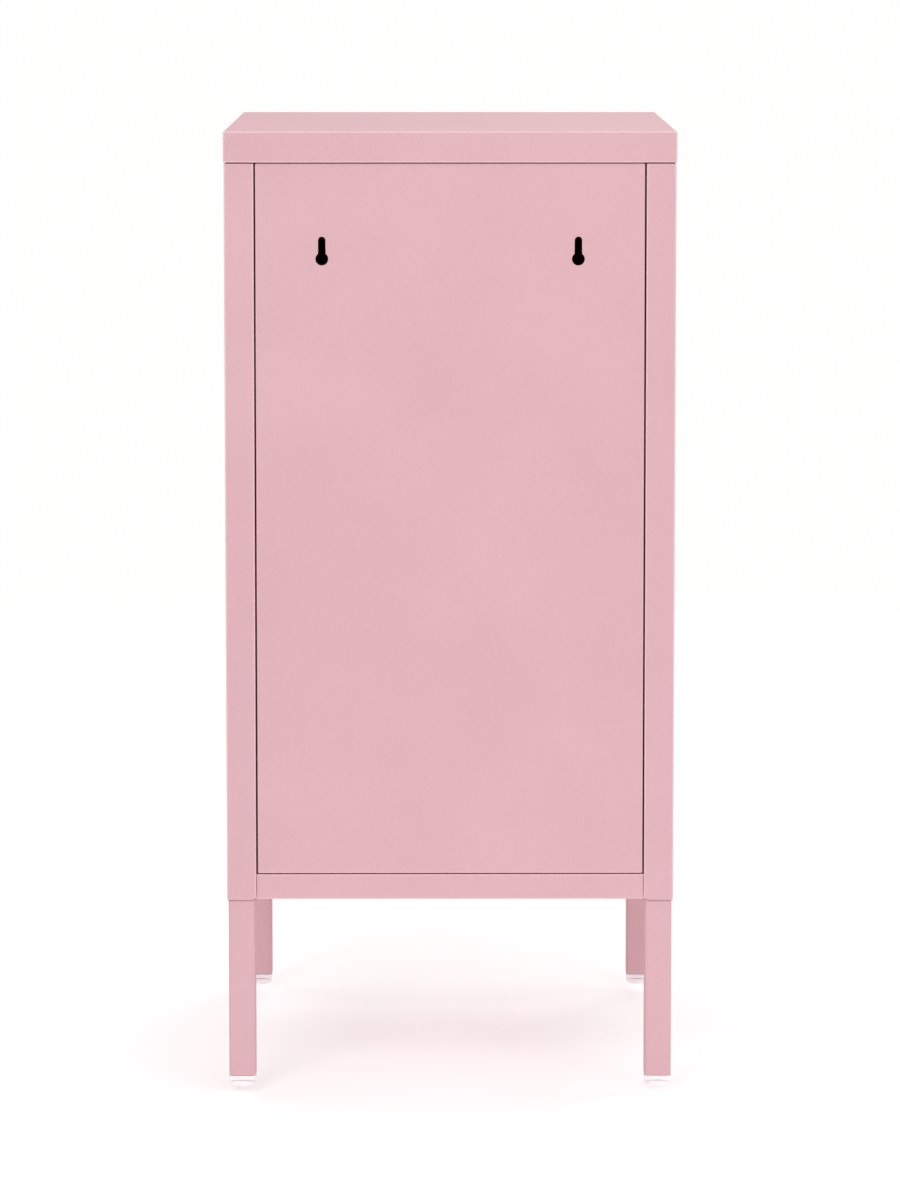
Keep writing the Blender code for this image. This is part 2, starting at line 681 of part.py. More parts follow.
def make_door_stiffener():
    """Hat-section channel welded upright to the inside of the door."""
    near = FRONT + SHEET + GAP
    low = DOOR_LOW + STIFFENER_MARGIN
    flange, fold, crown = STIFFENER_HALVES
    half = [(flange, near), (fold, near), (crown, near + STIFFENER_DEEP)]
    outline = [(-x, y) for x, y in half] + half[::-1]
    points = [(x, y, low) for x, y in outline]
    length = DOOR_HIGH - DOOR_LOW - 2 * STIFFENER_MARGIN
    bm = strip_bm(points, (0, 0, length), (0, -1, 0))
    stiffener = add_part("door_stiffener", bm, "pink_paint", (0, near, low))
    round_folds(stiffener, BEND, 2)
    thicken(stiffener)
    return stiffener


def make_hinge(end, flange_z, body_z, up):
    """Pivot pin headed inside the door, and the flanged nylon bush it turns in."""
    direction = UP * up
    head_z = flange_z - up * (SHEET + GAP)
    reach = abs(body_z - head_z) + SHEET + BUSH_BARREL
    tip = 0.0005
    profile = [(0, reach), (PIN_R - tip, reach), (PIN_R, reach - tip), (PIN_R, 0)]
    profile += [(PIN_HEAD_R, 0), (PIN_HEAD_R, -PIN_HEAD), (0, -PIN_HEAD)]
    pin = turned_part(f"{end}_hinge_pin", profile, "zinc", (HINGE_X, HINGE_Y, head_z), direction)
    bore = PIN_R + RUNNING
    flange = -GAP - BUSH_FLANGE
    profile = [(bore, BUSH_BARREL), (BUSH_R, BUSH_BARREL), (BUSH_R, -GAP)]
    profile += [(BUSH_FLANGE_R, -GAP), (BUSH_FLANGE_R, flange), (bore, flange)]
    turned_part(
        f"{end}_hinge_bush", profile, "nylon", (HINGE_X, HINGE_Y, body_z), direction, closed=True
    )
    return pin


def make_knob():
    """Round pull knob, with the screw that holds it from inside the door."""
    place = Vector((LOCK_X, FRONT, KNOB_Z))
    profile = arc((0, KNOB_OUT - KNOB_HEAD), (KNOB_R, KNOB_HEAD), 90, -35, 6)
    profile += arc(*KNOB_NECK, 145, 215, 2)
    profile += [(KNOB_FOOT_R - 0.0005, KNOB_FOOT + 0.001), (KNOB_FOOT_R, KNOB_FOOT), (KNOB_FOOT_R, GAP)]
    profile += [(M4[0] + GAP, GAP), (M4[0] + GAP, KNOB_BORE), (0, KNOB_BORE)]
    knob = turned_part("door_knob", profile, "pink_paint", place, TOWARD_DOOR)
    screw_place = (LOCK_X, FRONT + SHEET + GAP, KNOB_Z)
    return [knob] + add_screws(M4_KNOB, "slot", [("knob_screw", screw_place, TOWARD_BACK)])


def make_lock():
    """Cam lock: housing and nut stay on the door; plug, cam and screw turn together."""
    place = Vector((LOCK_X, FRONT, LOCK_Z))
    bore = LOCK_PLUG_R + RUNNING
    front = LOCK_FACE + GAP
    profile = [(bore, front), (LOCK_FACE_R - LOCK_RIM, front)]
    profile += [(LOCK_FACE_R, front - LOCK_RIM), (LOCK_FACE_R, GAP), (LOCK_R, GAP)]
    profile += [(LOCK_R, -LOCK_BARREL), (bore, -LOCK_BARREL)]
    housing = turned_part("lock_housing", profile, "chrome", place, TOWARD_DOOR, LOCK_STEPS, closed=True)

    nut_middle = place + TOWARD_BACK * (SHEET + GAP + LOCK_NUT_THICK / 2)
    hexagon = rods_bm([(nut_middle, TOWARD_BACK, LOCK_NUT_FLATS / math.sqrt(3), LOCK_NUT_THICK)], 6)
    nut = add_part("lock_nut", hexagon, "zinc", nut_middle)
    nut_bore = rods_bm([(nut_middle, TOWARD_BACK, LOCK_R + GAP, LOCK_NUT_THICK * 2)], 24)
    cut(nut, add_cutter("lock_nut_bore", nut_bore))

    shoulder = LOCK_BARREL + GAP
    tail = shoulder + CAM_THICK
    thread = M3_CAM[0] + GAP
    profile = [(0, front), (LOCK_PLUG_R, front), (LOCK_PLUG_R, -shoulder)]
    profile += [(CAM_TAIL_R, -shoulder), (CAM_TAIL_R, -tail), (thread, -tail)]
    profile += [(thread, -tail + M3_CAM[1] + 0.001), (0, -tail + M3_CAM[1] + 0.001)]
    plug = turned_part("lock_plug", profile, "chrome", place, TOWARD_DOOR, LOCK_STEPS)
    half_wide, half_high = KEYWAY[0] / 2, KEYWAY[1] / 2
    keyway_low = place + Vector((-half_wide, -2 * front, -half_high))
    keyway_high = place + Vector((half_wide, KEYWAY_DEEP, half_high))
    cut(plug, add_cutter("keyway", box_bm(keyway_low, keyway_high)))

    cam_y = FRONT + shoulder + GAP
    half = CAM_WIDE / 2
    cam_low = (LOCK_X - half, cam_y, LOCK_Z - CAM_LENGTH)
    bm = box_bm(cam_low, (LOCK_X + half, cam_y + CAM_THICK, LOCK_Z + half))
    upright = [e for e in bm.edges if abs(e.verts[0].co.y - e.verts[1].co.y) > CAM_THICK / 2]
    bmesh.ops.bevel(
        bm, geom=upright, offset=CAM_CORNER, segments=4, profile=0.5, affect="EDGES", material=-1
    )
    cam = add_part("lock_cam", bm, "zinc", (LOCK_X, cam_y, LOCK_Z))
    cam_middle = (LOCK_X, cam_y, LOCK_Z)
    hole = rods_bm([(cam_middle, TOWARD_BACK, CAM_TAIL_R + GAP, THROUGH)])
    cut(cam, add_cutter("lock_cam_hole", hole))
    screw_place = (LOCK_X, cam_y + CAM_THICK + GAP, LOCK_Z)
    screws = add_screws(M3_CAM, "slot", [("cam_screw", screw_place, TOWARD_BACK)])
    return [housing, nut], [plug, cam] + screws


def make_catch():
    """Magnetic catch screwed up under the cap, behind the top of the door's free edge."""
    half_x, half_y = CATCH[0] / 2, CATCH[1] / 2
    top = CAP_LOW - GAP
    low = (CATCH_X - half_x, CATCH_Y - half_y, top - CATCH[2])
    high = (CATCH_X + half_x, CATCH_Y + half_y, top)
    catch = add_part("catch_housing", box_bm(low, high), "white_plastic", (CATCH_X, CATCH_Y, top))
    round_folds(catch, 0.001, 2)
    magnet_z = top - CATCH[2] / 2
    front = CATCH_Y - half_y
    mx, my, mz = MAGNET
    pocket = box_bm(
        (CATCH_X - mx / 2 - GAP, front - my, magnet_z - mz / 2 - GAP),
        (CATCH_X + mx / 2 + GAP, front + my + GAP, magnet_z + mz / 2 + GAP),
    )
    cut(catch, add_cutter("magnet_pocket", pocket))
    screw_xs = (CATCH_X - CATCH_SCREWS / 2, CATCH_X + CATCH_SCREWS / 2)
    holes = [((x, CATCH_Y, magnet_z), UP, M3[0] + GAP, 2 * CATCH[2]) for x in screw_xs]
    cut(catch, add_cutter("catch_holes", rods_bm(holes)))
    low = (CATCH_X - mx / 2, front, magnet_z - mz / 2)
    high = (CATCH_X + mx / 2, front + my, magnet_z + mz / 2)
    add_part("catch_magnet", box_bm(low, high), "magnet", (CATCH_X, front, magnet_z))
    under = top - CATCH[2] - GAP
    places = [(f"catch_screw_{n + 1}", (x, CATCH_Y, under), DOWN) for n, x in enumerate(screw_xs)]
    add_screws(M3, "slot", places)


def make_door_stop():
    """Rubber button pushed into the floor panel; the door's lower edge closes against it."""
    under = -SHEET - GAP
    tip = under - STOP_BULB_HIGH
    rim = 0.001
    profile = [(0, STOP_HIGH), (STOP_R - rim, STOP_HIGH), (STOP_R, STOP_HIGH - rim)]
    profile += [(STOP_R, GAP), (STOP_STEM_R, GAP), (STOP_STEM_R, under), (STOP_BULB_R, under)]
    profile += [(STOP_STEM_R, tip), (0, tip)]
    turned_part("door_stop_button", profile, "rubber", (STOP_X, STOP_Y, FLOOR_Z))


# %% Assembly
def make_cabinet():
    """All the pieces, with the moving ones hung from empties on their joint axes."""
    make_top_cap()
    make_side_panel("left", -1)
    make_side_panel("right", 1)
    make_back_panel()
    make_bottom_panel()
    make_shelf()
    make_catch()
    make_door_stop()

    leg_bolts = []
    for name, sign, face, inward in corners():
        x, y = sign * LEG_X, face + inward * LEG_INSET
        make_leg(name, x, y)
        make_foot(name, x, y)
        bolt_place = (sign * (OPEN_X - GAP), y, LEG_BOLT_Z)
        leg_bolts.append((f"{name}_leg_bolt", bolt_place, (-sign, 0, 0)))
    add_screws(M6, "hex", leg_bolts)

    under_flange = BODY_TOP - SHEET - GAP
    cap_places = [(x, y, under_flange) for x, y in cap_screw_points()]
    add_screws(M4, "slot", [(f"cap_screw_{n + 1}", place, DOWN) for n, place in enumerate(cap_places)])
    back_screws = []
    for side, sign in (("left", -1), ("right", 1)):
        for level, z in zip(("lower", "upper"), BACK_SCREW_Z):
            place = (sign * (BACK_X - SHEET - GAP), REAR - BACK_SCREW_IN, z)
            back_screws.append((f"{side}_{level}_back_screw", place, (-sign, 0, 0)))
    add_screws(M4, "slot", back_screws)

    door_axis = axis_empty("door_axis", (HINGE_X, HINGE_Y, DOOR_LOW))
    hang(door_axis, make_door_panel(), make_door_stiffener())
    hang(door_axis, make_hinge("upper", DOOR_HIGH, CAP_LOW, 1))
    hang(door_axis, make_hinge("lower", DOOR_LOW, FLOOR_Z, -1))
    hang(door_axis, *make_knob())
    fixed, turning = make_lock()
    hang(door_axis, *fixed)
    hang(axis_empty("lock_axis", (LOCK_X, FRONT, LOCK_Z), door_axis), *turning)


make_cabinet()
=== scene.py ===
# %% [markdown]
# # A pink steel locker cabinet on four legs
# The cabinet is folded from thin steel sheet: a top cap, two side panels whose corner posts hold the
# legs, a back panel, a floor, a shelf and one door. The sheet metal comes ready made, as a frame of
# CAD pieces. This lesson gives each piece its finish, and makes the small turned and moulded pieces
# again with rounder shapes: feet, screws, knob, lock and hinge. The plain back faces the camera.

# %% Load the frame
import json
import math

import bmesh
import bpy
from mathutils import Matrix, Vector


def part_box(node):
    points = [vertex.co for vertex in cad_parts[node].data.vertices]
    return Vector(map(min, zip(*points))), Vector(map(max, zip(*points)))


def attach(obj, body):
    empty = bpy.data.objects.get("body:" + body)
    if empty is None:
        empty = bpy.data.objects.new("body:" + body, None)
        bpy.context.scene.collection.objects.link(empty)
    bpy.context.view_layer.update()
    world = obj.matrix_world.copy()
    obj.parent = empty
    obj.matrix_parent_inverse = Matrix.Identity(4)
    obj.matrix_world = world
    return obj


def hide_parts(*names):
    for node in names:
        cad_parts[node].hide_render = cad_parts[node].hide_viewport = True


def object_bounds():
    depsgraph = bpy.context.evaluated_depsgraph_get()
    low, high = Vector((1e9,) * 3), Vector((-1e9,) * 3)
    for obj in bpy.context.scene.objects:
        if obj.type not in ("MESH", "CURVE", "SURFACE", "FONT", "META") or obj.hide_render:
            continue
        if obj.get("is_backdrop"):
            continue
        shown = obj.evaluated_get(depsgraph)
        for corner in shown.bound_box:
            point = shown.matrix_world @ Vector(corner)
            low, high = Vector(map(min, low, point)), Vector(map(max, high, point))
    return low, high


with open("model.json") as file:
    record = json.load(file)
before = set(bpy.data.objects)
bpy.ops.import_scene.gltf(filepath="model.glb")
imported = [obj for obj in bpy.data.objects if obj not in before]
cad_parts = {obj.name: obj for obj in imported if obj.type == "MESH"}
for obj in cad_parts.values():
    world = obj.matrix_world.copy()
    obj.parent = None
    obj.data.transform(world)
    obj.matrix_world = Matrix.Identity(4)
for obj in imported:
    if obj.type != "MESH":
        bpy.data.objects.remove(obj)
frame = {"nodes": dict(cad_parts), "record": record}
CAD_LOW, CAD_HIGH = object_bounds()
NODES = frame["nodes"]
BODY_OF = {node: body for body, nodes in frame["record"]["behaviour"]["bodies"].items() for node in nodes}
print(len(NODES), "CAD pieces,", [round(side, 3) for side in CAD_HIGH - CAD_LOW], "m")

# %% [markdown]
# ## Camera
# The cabinet is seen square on from behind, from a little above its top, through a long lens from
# almost four metres. A long lens keeps the sides nearly parallel, as in a catalogue. Part of the look
# down is done by shifting the lens and not by pitching the camera, which keeps the uprights upright.

# %% Camera
CAMERA_PLACE = (0.008, 3.995, 0.906)
CAMERA_PITCH = 6.14  # degrees below the horizon
CAMERA_TURN = 179.88  # degrees round from looking along +Y
LENS = 147.4  # millimetres
FILM = 36  # millimetres along the picture's long side
LENS_SHIFT = -0.12  # as a share of the long side

camera_data = bpy.data.cameras.new("studio_camera")
camera_data.lens = LENS
camera_data.sensor_width = FILM
camera_data.shift_y = LENS_SHIFT
camera = bpy.data.objects.new("studio_camera", camera_data)
camera.location = CAMERA_PLACE
camera.rotation_euler = (math.radians(90 - CAMERA_PITCH), 0, math.radians(CAMERA_TURN))
bpy.context.scene.collection.objects.link(camera)
bpy.context.scene.camera = camera
bpy.context.scene.view_settings.view_transform = "Standard"
print("camera", LENS, "mm, pitched", CAMERA_PITCH, "degrees down")

# %% [markdown]
# ## Shader sums as Python sums
# A finish is a small network of nodes. Written link by link it hides the idea, so one class wraps a
# socket and turns Python's + and * into Math nodes. Every other kind of node comes from its `node`
# method, which takes the node's type, its settings, the values or links of its sockets, and the name
# or number of the output that is used.


# %% A socket that can be used in sums
class Wire:
    """One output socket of a material's nodes."""

    def __init__(self, tree, socket=None):
        self.tree = tree
        self.socket = socket

    def node(self, kind, settings, sockets, output=0):
        """Add a node: its settings, a value or a link for each socket, and the output that is used."""
        made = self.tree.nodes.new(kind)
        for name, value in settings.items():
            setattr(made, name, value)
        for name, value in sockets.items():
            if isinstance(value, Wire):
                self.tree.links.new(value.socket, made.inputs[name])
            else:
                made.inputs[name].default_value = value
        return Wire(self.tree, made.outputs[output])

    def sum(self, operation, *terms):
        """A Math node on these terms."""
        return self.node("ShaderNodeMath", {"operation": operation}, dict(enumerate(terms)))

    def __add__(self, other):
        return self.sum("ADD", self, other)

    def __mul__(self, other):
        return self.sum("MULTIPLY", self, other)

    __radd__ = __add__
    __rmul__ = __mul__


def noise(wire, place, scale, detail=2.0, roughness=0.5):
    """Values from a noise texture at a place, mostly between 0.3 and 0.7."""
    return wire.node(
        "ShaderNodeTexNoise", {}, {"Vector": place, "Scale": scale, "Detail": detail, "Roughness": roughness}
    )


MIX_FACTOR, MIX_FIRST, MIX_SECOND, MIXED_COLOUR = 0, 6, 7, 2  # a Mix node's sockets for colours


def blend_colours(wire, factor, first, second):
    """One colour turning into another as the factor goes from 0 to 1."""
    sockets = {MIX_FACTOR: factor, MIX_FIRST: first, MIX_SECOND: second}
    return wire.node("ShaderNodeMix", {"data_type": "RGBA"}, sockets, output=MIXED_COLOUR)


def stretch(wire, value, low, high, to_low=0.0, to_high=1.0):
    """Map a range of values to another, and clamp what falls outside."""
    return wire.node(
        "ShaderNodeMapRange",
        {"clamp": True},
        {"Value": value, "From Min": low, "From Max": high, "To Min": to_low, "To Max": to_high},
    )


def new_finish(name):
    """A material with only a Principled shader. Gives the material, its shader and a first wire."""
    material = bpy.data.materials.new(name)
    material.use_nodes = True
    tree = material.node_tree
    return material, tree.nodes["Principled BSDF"], Wire(tree)


def connect(wire, shader, sockets):
    """Set or link a shader's sockets."""
    for name, value in sockets.items():
        if isinstance(value, Wire):
            wire.tree.links.new(value.socket, shader.inputs[name])
        else:
            shader.inputs[name].default_value = value


print("shader helpers ready")

# %% [markdown]
# ## The pink coating
# The steel is powder coated: a plastic dust is sprayed on dry and baked until it flows. It never
# flows quite flat, so the coat has a fine orange peel. Under it the colour is nearly even, with a
# faint mottle. The peel is two noises in a Bump node, one about 2 mm across and one finer. The
# colour wanders between two close pinks at a large and at a small scale, and the gloss with it.
# Faces marked as part of a fold get a lighter pink: a painted highlight, where a bend would catch
# the light. Deep in a seam the pink is painted darker, as painted shade. An Ambient
# Occlusion node with a short reach finds the seams, because it tells how open each point is.

# %% Powder coat
PINK_LIGHT = (0.690, 0.430, 0.463, 1)
PINK_DEEP = (0.648, 0.391, 0.425, 1)
# painted highlight: the lighter pink that the faces of a fold get
PINK_FOLD_HIGHLIGHT = (0.800, 0.545, 0.575, 1)
# painted shade: the darker pink deep in the seams
PINK_SEAM_SHADE = (0.420, 0.165, 0.200, 1)
PEEL = 480.0  # orange peel cells, per metre
GRAIN = 1500.0  # fine grain, per metre
CLOUD = 7.0  # slow change of tone, per metre
GRAIN_SHARE = 0.35  # height of the grain, next to the peel's
BUMP_HEIGHT = 0.00025
SATIN, DULL = 0.48, 0.60  # limits of the roughness
SEAM_REACH = 0.0025  # a point with another surface this close is in a seam
SEAM_CLOSED, SEAM_OPEN = 0.45, 0.95  # openness deep in a seam, and out on the sheet


def powder_coat():
    """Satin pink powder coat on steel, with a painted highlight on its folds and painted shade in its seams.
    """
    material, shader, wire = new_finish("pink_powder_coat")
    place = wire.node("ShaderNodeTexCoord", {}, {}, output="Object")
    peel = noise(wire, place, PEEL, 2.0, 0.45)
    grain = noise(wire, place, GRAIN, 1.0)
    cloud = noise(wire, place, CLOUD, 3.0)
    tone = stretch(wire, cloud * 0.5 + peel * 0.2 + grain * 0.3, 0.36, 0.64)
    colour = blend_colours(wire, tone, PINK_DEEP, PINK_LIGHT)
    # painted highlight: the faces of a fold are turned to a lighter pink
    fold = wire.node("ShaderNodeAttribute", {"attribute_name": "fold"}, {}, output="Fac")
    colour = blend_colours(wire, fold * stretch(wire, peel, 0.35, 0.6, 0.75, 1.0), colour, PINK_FOLD_HIGHLIGHT)
    # painted shade: the pink turns darker where the Ambient Occlusion node finds a seam
    openness = wire.node("ShaderNodeAmbientOcclusion", {"samples": 4}, {"Distance": SEAM_REACH}, output="AO")
    colour = blend_colours(wire, stretch(wire, openness, SEAM_CLOSED, SEAM_OPEN), PINK_SEAM_SHADE, colour)
    height = peel + grain * GRAIN_SHARE
    bump = wire.node("ShaderNodeBump", {}, {"Strength": 0.22, "Distance": BUMP_HEIGHT, "Height": height})
    connect(wire, shader, {
        "Base Color": colour,
        "Roughness": stretch(wire, cloud * 0.5 + peel * 0.5, 0.35, 0.65, SATIN, DULL),
        "Normal": bump,
        "Specular IOR Level": 0.09,
    })
    return material


# %% [markdown]
# ## Plastic and rubber
# The feet are moulded in a milky plastic that lets a little light in, so they get some subsurface
# scattering. The catch is an ordinary white moulding, the hinge bushes are nylon, and the door stop
# is matt black rubber. Each has a faint mould texture and a gloss that changes slightly.


# %% Moulded finishes
MOULD_CLOUD = 60.0  # slow change of tone, per metre


def moulded(name, dark, light, roughness, grain_scale, grain_height, glow=0.0, glow_depth=0.002):
    """A moulded plastic or rubber: two close tones, a mould grain and, if milky, a soft glow."""
    material, shader, wire = new_finish(name)
    place = wire.node("ShaderNodeTexCoord", {}, {}, output="Object")
    cloud = noise(wire, place, MOULD_CLOUD, 3.0)
    grain = noise(wire, place, grain_scale, 2.0)
    tone = stretch(wire, cloud * 0.7 + grain * 0.3, 0.35, 0.65)
    connect(wire, shader, {
        "Base Color": blend_colours(wire, tone, dark, light),
        "Roughness": stretch(wire, grain, 0.35, 0.65, roughness - 0.05, roughness + 0.05),
        "Normal": wire.node(
            "ShaderNodeBump", {}, {"Strength": 0.3, "Distance": grain_height, "Height": grain}
        ),
        "Subsurface Weight": glow,
        "Subsurface Radius": (glow_depth, glow_depth * 0.8, glow_depth * 0.8),
        "Subsurface Scale": 1.0,
    })
    return material


# %% [markdown]
# ## Metals
# Screws, nuts and pins are zinc plated, which leaves a cool, slightly cloudy grey with brighter and
# duller patches. The lock is chrome plated: a mirror with fine random scratches where keys and
# fingers pass. The magnet is a dull grey ferrite block.


# %% Metal finishes
SCRATCHES = (300.0, 300.0, 5000.0)  # per metre along each axis, so that scratches lie flat


def plated(name, dark, light, smooth, rough, patch_scale, scratch_height):
    """A plated metal whose tone and polish change in patches, under fine scratches."""
    material, shader, wire = new_finish(name)
    place = wire.node("ShaderNodeTexCoord", {}, {}, output="Object")
    patches = noise(wire, place, patch_scale, 4.0, 0.6)
    tone = stretch(wire, patches, 0.35, 0.65)
    squeezed = wire.node("ShaderNodeMapping", {}, {"Vector": place, "Scale": SCRATCHES})
    scratches = noise(wire, squeezed, 1.0, 3.0)
    connect(wire, shader, {
        "Base Color": blend_colours(wire, tone, dark, light),
        "Metallic": 1.0,
        "Roughness": stretch(wire, patches * 0.6 + scratches * 0.4, 0.35, 0.65, smooth, rough),
        "Normal": wire.node(
            "ShaderNodeBump", {}, {"Strength": 0.2, "Distance": scratch_height, "Height": scratches}
        ),
    })
    return material


# %% All the finishes, by the names of the record's material slots
FINISHES = {
    "pink_paint": powder_coat(),
    "foot_plastic": moulded(
        "milky_foot_plastic", (0.94, 0.82, 0.84, 1), (0.985, 0.88, 0.895, 1),
        roughness=0.38, grain_scale=900.0, grain_height=0.00008, glow=0.5, glow_depth=0.004,
    ),
    "catch_plastic": moulded(
        "white_catch_plastic", (0.80, 0.79, 0.77, 1), (0.87, 0.86, 0.84, 1),
        roughness=0.42, grain_scale=1200.0, grain_height=0.00008, glow=0.1,
    ),
    "nylon": moulded(
        "natural_nylon", (0.78, 0.75, 0.67, 1), (0.86, 0.83, 0.76, 1),
        roughness=0.45, grain_scale=1200.0, grain_height=0.00008, glow=0.2,
    ),
    "zinc_steel": plated(
        "zinc_plate", (0.48, 0.49, 0.52, 1), (0.68, 0.69, 0.71, 1),
        smooth=0.28, rough=0.46, patch_scale=320.0, scratch_height=0.00004,
    ),
    "chrome": plated(
        "chrome_plate", (0.70, 0.70, 0.72, 1), (0.82, 0.82, 0.84, 1),
        smooth=0.08, rough=0.20, patch_scale=160.0, scratch_height=0.00002,
    ),
    "rubber": moulded(
        "black_rubber", (0.018, 0.018, 0.018, 1), (0.045, 0.044, 0.043, 1),
        roughness=0.78, grain_scale=1500.0, grain_height=0.0001,
    ),
    "magnet": moulded(
        "grey_ferrite", (0.045, 0.045, 0.050, 1), (0.085, 0.085, 0.090, 1),
        roughness=0.60, grain_scale=2000.0, grain_height=0.0001,
    ),
}
print(len(FINISHES), "finishes")

# %% [markdown]
# ## Folded sheet
# The CAD gives each sheet its folds, but as loose flat triangles, so a fold would show its facets.
# A merged copy can be shaded smoothly: the faces share their corners, the smooth shading runs round
# each fold, and a Weighted Normal modifier keeps the wide faces perfectly flat. Cut edges stay sharp.
# The legs are square tube, and are treated in the same way.

# %% Helpers that put a piece in the frame
SHARP = math.radians(40)
MERGE = 0.000002  # corners this close are one corner


def merge_and_face_out(bm):
    """Join corners that coincide, and point the faces outwards."""
    bmesh.ops.remove_doubles(bm, verts=bm.verts, dist=MERGE)
    bmesh.ops.recalc_face_normals(bm, faces=bm.faces)


def add_piece(name, bm, slot, node):
    """A shown piece that stands for a CAD node and rides on that node's body."""
    mesh = bpy.data.meshes.new(name)
    bm.to_mesh(mesh)
    bm.free()
    mesh.shade_smooth()
    mesh.set_sharp_from_angle(angle=SHARP)
    mesh.materials.append(FINISHES[slot])
    piece = bpy.data.objects.new(name, mesh)
    bpy.context.scene.collection.objects.link(piece)
    flat = piece.modifiers.new("flat faces stay flat", "WEIGHTED_NORMAL")
    flat.keep_sharp = True
    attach(piece, BODY_OF[node])
    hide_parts(node)


# %% Sheet pieces
SHEET_PIECES = [
    "top_cap", "left_side_panel", "right_side_panel", "back_panel", "bottom_panel", "shelf",
    "left_shelf_rail", "right_shelf_rail", "door_panel", "door_stiffener",
    "front_left_leg", "front_right_leg", "rear_left_leg", "rear_right_leg",
]
FLAT = 0.995  # a face this square to an axis is flat sheet, not part of a fold


def mark_folds(bm):
    """Mark the faces that belong to a fold, which get a painted highlight in the pink coat."""
    fold = bm.faces.layers.float.new("fold")
    bm.normal_update()
    for face in bm.faces:
        face[fold] = 0.0 if max(abs(part) for part in face.normal) > FLAT else 1.0


for node in SHEET_PIECES:
    bm = bmesh.new()
    bm.from_mesh(NODES[node].data)
    merge_and_face_out(bm)
    if not node.endswith("leg"):  # a leg's corners are drawn in a tube, not folded
        # only folded sheet gets the painted highlight on its fold faces
        mark_folds(bm)
    add_piece(f"{node}_sheet", bm, "pink_paint", node)
print(len(SHEET_PIECES), "sheet pieces")

# %% [markdown]
# ## Turned pieces
# Glides, screws, pins, bushes, the knob, the lock and the door stop are all round. Each starts as half
# of its outline, drawn as (radius, height) points from the top down, which a full spin turns into a
# solid. A recess for a driver or a key is made in the open top: its outline is bridged to the rim,
# pushed in and closed. All sizes are in metres, and widths are radii.


# %% Helpers for turned pieces
def arc(centre, radius, start, end, steps):
    """Points along part of a circle, as (radius, height), between two angles in degrees."""
    points = []
    for step in range(steps + 1):
        angle = math.radians(start + (end - start) * step / steps)
        points.append((centre[0] + radius * math.cos(angle), centre[1] + radius * math.sin(angle)))
    return points


def thread(radius, top, bottom, pitch):
    """Half outline of a threaded length, as crests a pitch apart."""
    root = radius - pitch * 0.5
    half = pitch * 0.4
    points = []
    for turn in range(int((top - bottom) / pitch)):
        crest = top - (turn + 0.5) * pitch
        points += [(root, crest + half), (radius, crest), (root, crest - half)]
    return points


def turned(profile, steps, closed=False):
    """Spin a half outline a full turn round Z."""
    bm = bmesh.new()
    verts = [bm.verts.new((radius, 0, height)) for radius, height in profile]
    edges = [bm.edges.new(pair) for pair in zip(verts, verts[1:])]
    if closed:
        edges.append(bm.edges.new((verts[-1], verts[0])))
    bmesh.ops.spin(
        bm, geom=verts + edges, axis=(0, 0, 1), angle=2 * math.pi, steps=steps, use_merge=True
    )
    merge_and_face_out(bm)
    return bm


def add_recess(bm, outline, depth, taper):
    """Close the open top of a turned piece with a recess of this outline."""
    rim = [edge for edge in bm.edges if edge.is_boundary]
    top = rim[0].verts[0].co.z
    verts = [bm.verts.new((x, y, top)) for x, y in outline]
    mouth = [bm.edges.new(pair) for pair in zip(verts, verts[1:] + verts[:1])]
    bmesh.ops.bridge_loops(bm, edges=rim + mouth)
    wall = bmesh.ops.extrude_edge_only(bm, edges=mouth)["geom"]
    foot = [item for item in wall if isinstance(item, bmesh.types.BMVert)]
    bmesh.ops.scale(bm, verts=foot, vec=(taper, taper, 1))
    bmesh.ops.translate(bm, verts=foot, vec=(0, 0, -depth))
    bmesh.ops.edgeloop_fill(bm, edges=[edge for edge in bm.edges if edge.is_boundary])
    merge_and_face_out(bm)


def place_piece(bm, place, direction=(0, 0, 1)):
    """Turn a piece made along Z to face another way, and put its origin at a place."""
    turn = Vector(direction).to_track_quat("Z", "Y").to_matrix().to_4x4()
    bmesh.ops.transform(bm, matrix=Matrix.Translation(place) @ turn, verts=bm.verts)


def middle(node):
    """The middle of a CAD node's box."""
    low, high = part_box(node)
    return (low + high) / 2


def ring_of(count, radius):
    """Corners of a regular outline."""
    angles = [2 * math.pi * number / count for number in range(count)]
    return [(radius * math.cos(angle), radius * math.sin(angle)) for angle in angles]


def cross_of(reach, half):
    """Corners of a cross-shaped recess."""
    arm = [(reach, -half), (reach, half), (half, half)]
    corners = []
    for quarter in range(4):
        turn = Matrix.Rotation(quarter * math.pi / 2, 2)
        corners += [tuple(turn @ Vector(corner)) for corner in arm]
    return corners


print("turning helpers ready")

# %% [markdown]
# ## Feet
# Each leg ends in a square plug pushed into the tube and a round glide screwed up into the plug, so
# the cabinet can be levelled. The plug's rim has the tube's rounded corners, so it starts as a cube
# whose upright edges are bevelled first and whose rims are bevelled after. The glide is turned, with
# a soft lower edge that slides over the floor, and its threaded stud hides in the plug.

# %% Foot plugs and glides
CORNERS = [f"{end}_{side}" for end in ("front", "rear") for side in ("left", "right")]
RIM_HIGH = 0.0036
RIM_CORNER = 0.0022
RIM_EDGE = 0.0005
PLUG_NECK = 0.0176  # full side of the square neck, which fills the tube
PLUG_BORE = 0.0032
STUD_RADIUS = 0.003
STUD_TIP = 0.0006  # chamfer at the stud's end
STUD_PITCH = 0.001
STUD_PLAIN = 0.0002  # length without thread above the disc
GLIDE_EDGE = 0.0030  # rounding of the disc where it meets the floor
GLIDE_TOP_EDGE = 0.0005
GLIDE_HIGH = 0.0052
LEVEL = 0.0001  # ends of an edge within this height of each other make it a level edge


def bevel_edges(bm, edges, width, segments):
    """Round some edges."""
    bmesh.ops.bevel(
        bm, geom=edges, offset=width, segments=segments, profile=0.5, affect="EDGES", material=-1
    )


